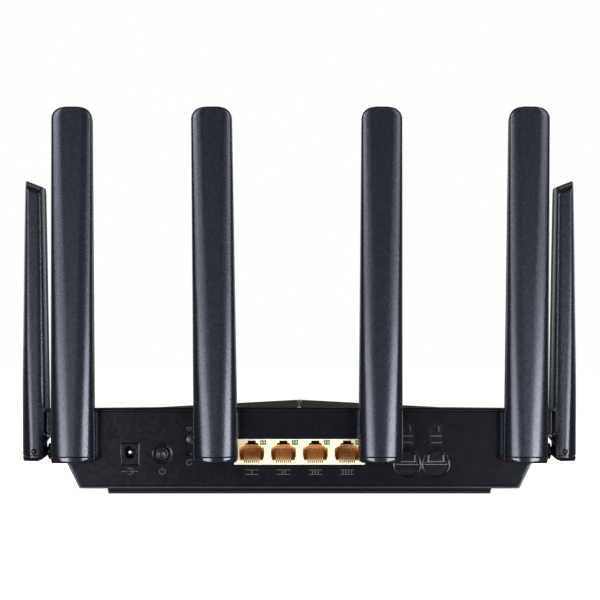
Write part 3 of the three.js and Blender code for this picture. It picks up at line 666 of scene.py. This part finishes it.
JACK = middle("dc_pin")
POWER = middle("power_button")
WPS = middle("wps_button")
RESET = middle("reset_button")
CARD_XS = [middle(f"sim_socket_{i}").x for i in (1, 2)]
CARD_SLOT_Z = 15.3
CARD_DISH_Z = 14.9
CARD_DISH_RADIUS = 6.4
PRINT_Z = 11.2  # of the signs under the power inlet and the power button
PRINT_PROUD = 0.03


def make_rear_panel():
    """The plate that the connectors look through, with the antennas' bosses and the card recesses."""
    plate = soften(prism(panel_outline(0), PANEL_FACE, PANEL_BACK), 0.3, 3)
    for antenna in ANTENNAS[:4]:
        pin = middle(f"{antenna}_pin")
        boss = common(rod((pin.x, pin.z), BOSS_RADIUS, BOSS_FACE, PANEL_BACK),
                      prism(panel_outline(-0.05), -5, 12))
        plate = cut(join(plate, boss), rod((pin.x, pin.z), STUB_HOLE, -5, 12))
    block_low, block_high = span("port_block")
    jack_low, jack_high = span("dc_jack")
    plate = cut(
        plate,
        block((block_low.x - GAP, block_high.x + GAP), (-5, 12), (block_low.z - GAP, block_high.z + GAP)),
        block((jack_low.x - 0.25, jack_high.x + 0.25), (-5, 12), (jack_low.z - 0.3, jack_high.z + 0.25)),
        turned([(0, -2), (5, -2), (5, PANEL_FACE + 0.15), (4.8, PANEL_FACE + 0.45), (4.4, PANEL_FACE + 0.6),
                (3.85, PANEL_FACE + 0.6), (3.85, 6), (0, 6)], (POWER.x, POWER.z), steps=64),
        rod((WPS.x, WPS.z), 2.2, -5, 12),
        rod((RESET.x, RESET.z), 1.1, -5, 12, steps=32),
    )
    for x in CARD_XS:
        ring = rod((x, CARD_DISH_Z), CARD_DISH_RADIUS + 0.45, PANEL_FACE - 0.15, PANEL_BACK + 1.1, steps=64)
        dish = rod((x, CARD_DISH_Z), CARD_DISH_RADIUS, -2, PANEL_BACK + 0.2, steps=64)
        slit = block((x - 5.2, x + 5.2), (-2, 8), (CARD_SLOT_Z - 0.35, CARD_SLOT_Z + 0.4))
        plate = cut(join(plate, ring), dish, slit)
    soften(plate, 0.18, 2, 40)
    settle(plate, "connector_panel", "case", COATS["panel"], ["rear_panel"])
    for i, x in enumerate(CARD_XS):
        make_card_recess(x, i + 1)


def make_card_recess(x, number):
    """The finger recess of a card slot: a shallow shelf with two ribs above the slot, a scoop below it."""
    floor = PANEL_BACK + 0.15
    disc = circle((x, CARD_DISH_Z), CARD_DISH_RADIUS - 0.03, 64)
    wide = (x - 9, x + 9)
    upper = common(prism(disc, PANEL_FACE + 1.1, floor), block(wide, (-2, 9), (CARD_SLOT_Z + 1.0, 30)))
    ribs = [block((x + at - 0.35, x + at + 0.35), (PANEL_FACE + 0.35, floor), (CARD_SLOT_Z + 0.7, 19.4))
            for at in (-3.75, 3.75)]
    lips = []
    for reach, front, low, high in ((4.6, 0.5, 0.45, 1.05), (5.7, 0.3, -0.95, -0.4)):
        lips.append(block((x - reach, x + reach), (PANEL_FACE + front, floor),
                          (CARD_SLOT_Z + low, CARD_SLOT_Z + high)))
    steps = [block(wide, (PANEL_FACE + 1.25 + 0.28 * i, floor), (9.9 - i, 14.0 - 1.15 * i))
             for i in range(3)]
    scoop = common(join(steps[0], *steps[1:]), prism(disc, -2, floor + 1))
    inner = join(upper, *ribs, *lips, scoop)
    soften(common(inner, prism(disc, -2, floor + 1)), 0.12, 2, 40)

    # The lips above and below the slot take the light grey lip coat: a painted highlight.
    def at_lip_painted_highlight(centre, normal):
        return centre.y < PANEL_FACE + 0.62 and centre.z < CARD_SLOT_Z + 5

    # The recess takes a coat darker than the panel's: painted shade in the hollow.
    settle(inner, f"card_recess_{number}", "case", COATS["recess"],
           parts=[(COATS["lip"], at_lip_painted_highlight)])


def stroke(points, width, height):
    """A printed line through points, as thin as ink."""
    shapes = []
    for (x0, z0), (x1, z1) in zip(points, points[1:]):
        length = math.hypot(x1 - x0, z1 - z0)
        across = ((z0 - z1) / length * width / 2, (x1 - x0) / length * width / 2)
        corners = [(x0 + across[0], z0 + across[1]), (x0 - across[0], z0 - across[1]),
                   (x1 - across[0], z1 - across[1]), (x1 + across[0], z1 + across[1])]
        shapes.append(prism(corners, height - 0.02, height + 0.05))
    return shapes


def make_prints():
    """Generic pictograms in place of words: a plug, a power sign, waves, an arrow and port tallies."""
    face = PANEL_FACE - PRINT_PROUD
    line = 0.32
    x, z = JACK.x, PRINT_Z
    marks = stroke([(x - 4.2, z), (x - 1.6, z)], line, face)
    marks += stroke(circle((x, z), 1.5, 14, -140, 140), line, face)
    marks += stroke([(x - 0.5, z), (x + 4.2, z)], line, face)
    x = POWER.x
    marks += stroke(circle((x, z), 1.45, 16, 125, 415), line, face)
    marks += stroke([(x, z + 0.2), (x, z + 1.9)], line, face)
    for radius in (0.7, 1.5, 2.3):
        marks += stroke(circle((WPS.x, WPS.z + 4.0), radius, 8, 45, 135), line, face)
    marks += stroke(circle((RESET.x, 15.6), 1.3, 14, 60, 350), line, face)
    marks += stroke([(RESET.x + 0.5, 17.3), (RESET.x + 0.7, 16.6), (RESET.x + 1.5, 16.9)], line, face)
    for number, x in enumerate(PORT_XS, 1):
        marks += stroke([(x - 3.4, 11.9), (x + 3.4, 11.9)], line, face)
        marks += stroke([(x - 3.4, 9.7), (x + 3.4, 9.7)], line, face)
        for i in range(number):
            at = x + (i - (number - 1) / 2) * 1.4
            marks += stroke([(at, 10.2), (at, 11.4)], 0.5, face)
    settle(gather(marks), "panel_prints", "case", COATS["ink"])
    patches = []
    lines = []
    strokes = (((1.4, 33.9), (1.4, 31.2)), ((-2.6, 28.9), (2.8, 28.9)), ((-2.6, 25.6), (2.8, 25.6)))
    for x in CARD_XS:
        outline = [(x - 3.6, 23.6), (x + 3.6, 23.6), (x + 3.6, 34.9), (x - 1.6, 34.9), (x - 3.6, 32.6)]
        patches.append(prism(outline, face - 0.01, face + 0.05))
        for start, end in strokes:
            lines += stroke([(x + start[0], start[1]), (x + end[0], end[1])], 0.5, face - PRINT_PROUD)
    settle(gather(patches), "card_patches", "case", COATS["patch"])
    settle(gather(lines), "card_patch_lines", "case", COATS["faint_ink"])


def port_opening(x, gap):
    """The mouth of a port, with its stepped shoulders, shrunk by a gap."""
    right = [(5.9, 16.7), (5.9, 18.0), (6.35, 18.1), (6.35, 22.6), (6.0, 22.7), (6.0, 23.2),
             (4.9, 23.3), (4.9, 23.8), (3.9, 23.9), (3.9, 24.3), (3.25, 24.35), (3.25, 24.6)]
    centre_z = 20.4
    outline = right + [(-u, v) for u, v in reversed(right)]
    return [(x + u - math.copysign(gap, u), v - math.copysign(gap, v - centre_z)) for u, v in outline]


def contact_xs(x):
    """Where the eight contacts of a port stand."""
    return [x + (i - 3.5) * CONTACT_PITCH for i in range(8)]


def make_ports():
    """The ivory block with, in each port, a notch for the latch, slots for the contacts and a window."""
    low, high = span("port_block")
    nose = soften(block((low.x, high.x), (PORT_FACE, high.y), (low.z, high.z)), 0.35, 3)
    for x in PORT_XS:
        notch = join(block((x - 3.25, x + 3.25), (-1, 11), (24.5, 25.35)),
                     block((x - 2.05, x + 2.05), (-1, 11), (25, 26.6)))
        slots = [block((at - 0.27, at + 0.27), (-1, 6), (15.5, 17)) for at in contact_xs(x)]
        window = block((x + LIGHT_XS[0], x + LIGHT_XS[1]), (-1, 2), LIGHT_ZS)
        nose = cut(nose, prism(port_opening(x, 0), -1, PORT_DEPTH), notch, window, *slots)
    soften(nose, 0.1, 2, 40)

    # The latch notch and the top step of each mouth take the dark switch plastic: painted shade in the
    # notch.
    def in_notch_painted_shade(centre, normal):
        return centre.y > PORT_FACE + 0.15 and centre.z > 24.4

    def in_slot(centre, normal):
        return centre.y > PORT_FACE + 0.15 and centre.z < 16.75

    settle(nose, "port_housing", "case", COATS["ivory"], ["port_block"],
           parts=[(COATS["switch"], in_notch_painted_shade), (COATS["slot"], in_slot)])
    for number, x in enumerate(PORT_XS, 1):
        make_port(x, number)


def make_port(x, number):
    """What a port holds: an amber lining with a comb, the contact springs and a window with two lights."""
    liner = cut(prism(port_opening(x, 0.06), PORT_FACE + 0.5, PORT_DEPTH - 0.05),
                prism(port_opening(x, 0.3), -1, PORT_DEPTH - 0.4))
    comb = [block((x + (i - 4) * CONTACT_PITCH - 0.12, x + (i - 4) * CONTACT_PITCH + 0.12),
                  (4.5, PORT_DEPTH - 0.2), (17.0, 20.4)) for i in range(9)]

    # The comb between the springs takes the darker amber coat: painted shade between the contacts.
    def on_comb_painted_shade(centre, normal):
        return centre.z < 20.5 and 4.4 < centre.y < PORT_DEPTH - 0.6 and centre.z > 17.05

    settle(soften(join(liner, *comb), 0.05, 1, 40), f"port_liner_{number}", "case", COATS["amber"],
           parts=[(COATS["comb"], on_comb_painted_shade)])

    outline = [(1.4, 17.35), (4.0, 17.4), (11.2, 22.3), (11.9, 22.3), (11.9, 21.9), (11.3, 21.8),
               (4.2, 16.98), (1.4, 16.95)]
    fingers = gather([prism(outline, at - 0.2, at + 0.2, "x") for at in contact_xs(x)])
    settle(soften(fingers, 0.05, 1), f"port_springs_{number}", "case", COATS["gold"],
           [f"port_contacts_{number}"])

    play = 0.05
    window = block((x + LIGHT_XS[0] + play, x + LIGHT_XS[1] - play), (PORT_FACE - play, 1.9),
                   (LIGHT_ZS[0] + play, LIGHT_ZS[1] - play))
    soften(window, 0.12, 2)
    settle(window, f"port_light_{number}", "case", COATS["led"])
    core_width = 0.85
    cores = gather([block((x + left, x + left + core_width), (PORT_FACE - 0.09, 1), (25.1, 26.2))
                    for left in (4.6, 5.95)])
    settle(soften(cores, 0.1, 2), f"port_light_cores_{number}", "case", COATS["led_core"])


def make_power_inlet():
    """A square nose with a round mouth, and the round-tipped pin inside it."""
    low, high = span("dc_jack")
    nose = soften(block((low.x, high.x), (PANEL_FACE - 0.15, high.y), (low.z, high.z)), 0.3, 3)
    hole = turned([(0, -1), (3.35, -1), (3.35, PANEL_FACE - 0.15), (3.05, PANEL_FACE + 0.25),
                   (3.05, 11), (0, 11)], (JACK.x, JACK.z), steps=64)

    def in_hole(centre, normal):
        return PANEL_FACE + 0.2 < centre.y < 11.5 and math.hypot(centre.x - JACK.x, centre.z - JACK.z) < 3.2

    settle(soften(cut(nose, hole), 0.08, 2, 40), "power_inlet", "case", COATS["connector"],
           ["dc_jack"], parts=[(COATS["patch"], in_hole)])
    tip = [(0, 1.3), (0.45, 1.32), (0.7, 1.42), (0.9, 1.7), (1.0, 2.2), (1.0, 11), (0, 11)]
    settle(turned(tip, (JACK.x, JACK.z), steps=32), "power_inlet_pin", "case", COATS["pin"],
           ["dc_pin"])


def make_buttons():
    """The dished power cap and the domed WPS cap, each with a flange behind the panel, and the plunger."""
    front = span("power_button")[0].y
    back = span("power_button")[1].y
    cap = [(0, front + 0.75), (1.2, front + 0.7), (2.0, front + 0.5), (2.4, front + 0.12), (2.65, front),
           (3.0, front + 0.14), (3.35, front + 0.5), (3.55, front + 1.1), (3.6, front + 1.8),
           (3.6, PANEL_BACK + 0.2), (4.4, PANEL_BACK + 0.2), (4.4, PANEL_BACK + 1.0),
           (1.5, PANEL_BACK + 1.0), (1.5, back), (0, back)]
    settle(turned(cap, (POWER.x, POWER.z), steps=64), "power_cap", "power_button",
           COATS["button"], ["power_button"], crease=50)
    sign = stroke([(POWER.x, POWER.z - 0.7), (POWER.x, POWER.z + 0.7)], 0.4, front + 0.68)[0]
    settle(sign, "power_cap_sign", "power_button", COATS["ink"])

    front = span("wps_button")[0].y
    back = span("wps_button")[1].y
    cap = [(0, front), (0.6, front + 0.03), (1.1, front + 0.14), (1.45, front + 0.34), (1.6, front + 0.7),
           (1.6, PANEL_BACK + 0.2), (2.4, PANEL_BACK + 0.2), (2.4, PANEL_BACK + 1.0),
           (0.9, PANEL_BACK + 1.0), (0.9, back), (0, back)]
    settle(turned(cap, (WPS.x, WPS.z)), "wps_cap", "wps_button", COATS["grey"],
           ["wps_button"], crease=50)
    refine("reset_button", COATS["black"], 0.08, "reset_button")


# ---- Antennas -----------------------------------------------------------------------------

def antenna_placing(antenna):
    """The antenna's own frame: X along the fold pin, Y level and towards the case, Z up the blade."""
    axis = next(Vector(joint["axis"]) for joint in frame["joints"] if joint["name"] == f"{antenna}_fold")
    across = axis.normalized()
    inwards = Vector((0, 0, 1)).cross(across).normalized()
    upwards = across.cross(inwards)
    low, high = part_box(f"{antenna}_pin")
    turn = Matrix((across, inwards, upwards)).transposed().to_4x4()
    return Matrix.Translation((low + high) / 2) @ turn @ WORLD


def blade_ring(half_width, outer, inner, bulge, crown, z, slant=0.0, steps=96):
    """A section of the blade: two superellipses, and a crown on the outer face."""
    ring = []
    for i in range(steps):
        angle = 2 * math.pi * (i + 0.5) / steps
        inwards = math.sin(angle) > 0
        power = 2 / (4 if inwards else bulge)
        x = half_width * math.copysign(abs(math.cos(angle)) ** power, math.cos(angle))
        rise = abs(math.sin(angle)) ** power
        y = inner * rise if inwards else (crown - outer) * rise - crown * (1 - (x / half_width) ** 2)
        ring.append((x, y, z - slant * (y + outer) / (outer + inner)))
    return ring


def hinge_cutters():
    """What the knuckle and the fold need: a relief at the back, a slot and the hole of the pin."""
    relief = prism([(20, -20), (20, 18), (8, 8.5), (5, 4.7), (5, -2.6), (2.1, -BLADE_BELOW), (2.1, -20)],
                   -20, 20, "x")
    across = (-HINGE_SLOT, HINGE_SLOT)
    slot = join(rod((0, 0), 5.1, *across, "x"), block(across, (0, 20), (-20, 3.4)),
                block(across, (-3, 3.4), (-20, 0)))
    return relief, slot, rod((0, 0), PIN_HOLE, -20, 20, "x", 32)


def make_blade(antenna, placing):
    """A blade with rounded top corners, and the separate cap that closes it under the fold pin."""
    above = (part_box(f"{antenna}_blade")[1].z - placing.translation.z) / MM
    length = above + BLADE_BELOW
    corner_start = above - BLADE_CORNER

    def section(z, shrink_width=0.0, shrink_depth=0.0):
        share = (z + BLADE_BELOW) / length
        slant = BLADE_TOP_SLANT * smooth((z - above + 40) / 40)
        return blade_ring(
            mix(*BLADE_WIDTHS, share) / 2 - shrink_width,
            mix(*BLADE_OUTERS, share ** 2) - shrink_depth,
            mix(*BLADE_INNERS, share) - shrink_depth,
            mix(*BULGES, share ** 1.5), CROWN * smooth(share / 0.7), z, slant,
        )

    rings = [section(BLADE_SEAM, 0.03, 0.3), section(BLADE_SEAM + 0.1, 0.01, 0.1),
             section(BLADE_SEAM + 0.3)]
    rings += [section(mix(BLADE_SEAM + 1, corner_start, i / 24)) for i in range(25)]
    for i in range(1, 25):
        turn = math.radians(90 * i / 24)
        z = corner_start + BLADE_CORNER * math.sin(turn)
        near_top = max(0, (z - above + BLADE_FILLET) / BLADE_FILLET)
        rings.append(section(z, BLADE_CORNER * (1 - math.cos(turn)),
                             BLADE_FILLET * (1 - math.sqrt(max(0, 1 - near_top ** 2)))))
    shell = cut(loft(rings), *hinge_cutters())
    soften(shell, 0.2, 2, 40)
    settle(shell, f"{antenna}_shell", f"{antenna}_arm", COATS["antenna"],
           [f"{antenna}_blade"], placing, crease=38)

    def lean(z):
        return 0.03 + END_CAP_LEAN * (BLADE_SEAM - z)

    cap_rings = [section(BLADE_SEAM - 0.06, 0.05, 0.75), section(BLADE_SEAM - 0.08, 0.01, 0.4),
                 section(BLADE_SEAM - 0.25, 0, lean(BLADE_SEAM - 0.25))]
    for i in range(13):
        turn = math.radians(90 * i / 12)
        rise = END_CAP_CORNER * (1 - math.sin(turn))
        near_bottom = max(0, 1 - rise / END_CAP_FILLET)
        cap_rings.append(section(
            rise - BLADE_BELOW,
            END_CAP_CORNER * (1 - math.cos(turn)),
            lean(rise - BLADE_BELOW) + END_CAP_FILLET * (1 - math.sqrt(1 - near_bottom ** 2)),
        ))
    cap = cut(loft(cap_rings), *hinge_cutters())
    soften(cap, 0.15, 2, 40)

    def polished(centre, normal):
        return normal.y < -0.4

    settle(cap, f"{antenna}_end_cap", f"{antenna}_arm", COATS["antenna"],
           [f"{antenna}_blade"], placing, crease=38, parts=[(COATS["cap"], polished)])


def make_knuckle(antenna, placing):
    """A tongue round the fold pin and a hollow stem with a collar, which snaps in behind the wall."""
    low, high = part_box(f"{antenna}_knuckle")
    inverse = placing.inverted()
    reach = max((inverse @ corner).y for corner in (low, high))
    snap = reach - 3
    stem = [(0, 2), (2.4, 2), (2.4, 6.2), (2.7, 6.5), (3.9, 6.5), (4.2, 6.75), (4.2, 7.65), (3.95, 7.9),
            (2.6, 7.9), (2.6, snap), (3.2, snap), (3.2, snap + 1), (2.2, reach), (1, reach),
            (1, reach - 4), (0, reach - 4)]
    tongue = soften(rod((0, 0), 4.6, -4.2, 4.2, "x", 64), 0.4, 3, 60)
    bore = rod((0, 0), KNUCKLE_BORE, -20, 20, "x", 32)
    knuckle = cut(join(tongue, turned(stem, (0, 0))), bore)
    soften(knuckle, 0.12, 2, 40)
    settle(knuckle, f"{antenna}_swivel_joint", f"{antenna}_base", COATS["tray"],
           [f"{antenna}_knuckle"], placing, crease=38)


def make_pin(antenna, placing):
    """The fold pin, with its ends rounded over."""
    profile = [(0, -10.4), (0.9, -10.38), (1.15, -10.25), (1.3, -9.9), (1.3, 9.9), (1.15, 10.25),
               (0.9, 10.38), (0, 10.4)]
    settle(turned(profile, (0, 0), "x", 32), f"{antenna}_axle", f"{antenna}_arm",
           COATS["black_steel"], [f"{antenna}_pin"], placing)


def make_antennas():
    for antenna in ANTENNAS:
        placing = antenna_placing(antenna)
        make_blade(antenna, placing)
        make_knuckle(antenna, placing)
        make_pin(antenna, placing)
        refine(f"{antenna}_radiator", COATS["radiator"], 0.08, f"{antenna}_arm")


# ---- Inside and underneath ----------------------------------------------------------------

def make_fittings():
    for node in ("rear_foot", "front_foot"):
        refine(node, COATS["rubber"], 0.1)
    for i in range(1, 5):
        refine(f"case_screw_{i}", COATS["steel"], 0.12)
    refine("light_guide", COATS["lens"], 0.25)

    def on_board(centre, normal):
        return centre.z > BOARD_TOP + 0.05

    refine("main_board", COATS["board"], 0.12, parts=[(COATS["patch"], on_board)])
    refine("button_board", COATS["board"], 0.1)
    refine("modem_module", COATS["tin"], 0.15)
    refine("wifi_shield", COATS["tin"], 0.12)
    for i in (1, 2):
        refine(f"sim_socket_{i}", COATS["tin"], 0.12)
    for node in ("power_switch", "wps_switch", "reset_switch"):
        refine(node, COATS["switch"], 0.15)
    for i in range(1, 7):
        refine(f"antenna_lead_{i}", COATS["cable"], 0.1)


# ---- Stage --------------------------------------------------------------------------------

ROOM_LIGHT = 0.05
CAMERA_DISTANCE = 1.280
CAMERA_HEIGHT = 0.0669


def make_floor():
    """A white floor that lets the low keys through: it hides nothing from them or from reflections."""
    mesh = bpy.data.meshes.new("floor")
    mesh.from_pydata([(-30, -30, 0), (30, -30, 0), (30, 30, 0), (-30, 30, 0)], [], [(0, 1, 2, 3)])
    floor = bpy.data.objects.new("floor", mesh)
    bpy.context.scene.collection.objects.link(floor)
    floor.visible_shadow = False
    floor.visible_glossy = False
    surface = Surface("floor paint", (0.85, 0.85, 0.85), 0.7, Emission_Color=(1, 1, 1, 1))
    ray = surface.node("ShaderNodeLightPath")
    surface.links.new(ray.outputs["Is Camera Ray"], surface.shader.inputs["Emission Strength"])
    mesh.materials.append(surface.material)


def make_world():
    world = bpy.data.worlds.new("studio")
    world.use_nodes = True
    nodes, links = world.node_tree.nodes, world.node_tree.links
    seen = nodes["Background"]
    seen.inputs["Color"].default_value = (1, 1, 1, 1)
    seen.inputs["Strength"].default_value = 1.0
    cast = nodes.new("ShaderNodeBackground")
    cast.inputs["Color"].default_value = (0.9, 0.94, 1, 1)
    cast.inputs["Strength"].default_value = ROOM_LIGHT
    ray = nodes.new("ShaderNodeLightPath")
    blend = nodes.new("ShaderNodeMixShader")
    links.new(ray.outputs["Is Camera Ray"], blend.inputs[0])
    links.new(cast.outputs[0], blend.inputs[1])
    links.new(seen.outputs[0], blend.inputs[2])
    links.new(blend.outputs[0], nodes["World Output"].inputs["Surface"])
    bpy.context.scene.world = world


def softbox(name, place, aim, width, height, power):
    """A rectangular light, in metres and watts, that the camera doesn't see."""
    data = bpy.data.lights.new(name, "AREA")
    data.shape = "RECTANGLE"
    data.size, data.size_y = width, height
    data.energy = power
    light = bpy.data.objects.new(name, data)
    light.location = place
    light.rotation_euler = (Vector(aim) - Vector(place)).to_track_quat("-Z", "Y").to_euler()
    light.visible_camera = False
    bpy.context.scene.collection.objects.link(light)


def make_lights():
    """The low keys stand under the floor's level, so the blades are brightest at their lower ends."""
    aim = (0, -0.08, 0.10)
    softbox("low key left", (-1.26, -2.66, -0.30), aim, 1.35, 0.6, 45)
    softbox("low key right", (0.58, -0.98, -0.07), aim, 0.55, 0.26, 9.4)
    softbox("high key left", (-0.95, -1.30, 0.54), aim, 0.6, 0.45, 11)
    softbox("high key right", (0.75, -1.10, 0.50), aim, 0.45, 0.45, 4.6)
    softbox("top", (0.0, 0.1, 1.1), (0, 0, 0.05), 0.9, 0.7, 2.5)
    softbox("far left", (-0.9, 0.8, 0.5), (0, 0, 0.08), 1.6, 0.9, 6)
    softbox("far right", (0.9, 0.8, 0.5), (0, 0, 0.08), 1.6, 0.9, 6)


def make_camera():
    """The photograph's view: level, and square to the rear panel."""
    data = bpy.data.cameras.new("camera")
    data.lens = 153.6
    data.sensor_width = 36
    data.shift_x = 0.001
    data.shift_y = 0.1
    camera = bpy.data.objects.new("camera", data)
    camera.location = (0, REAR - CAMERA_DISTANCE, CAMERA_HEIGHT)
    camera.rotation_euler = (math.pi / 2, 0, 0)
    bpy.context.scene.collection.objects.link(camera)
    bpy.context.scene.camera = camera


make_camera()
make_world()
make_floor()
make_lights()
bpy.context.scene.view_settings.view_transform = "Standard"

make_top_cover()
make_spine_strip()
make_tray()
make_rear_panel()
make_prints()
make_ports()
make_power_inlet()
make_buttons()
make_antennas()
make_fittings()
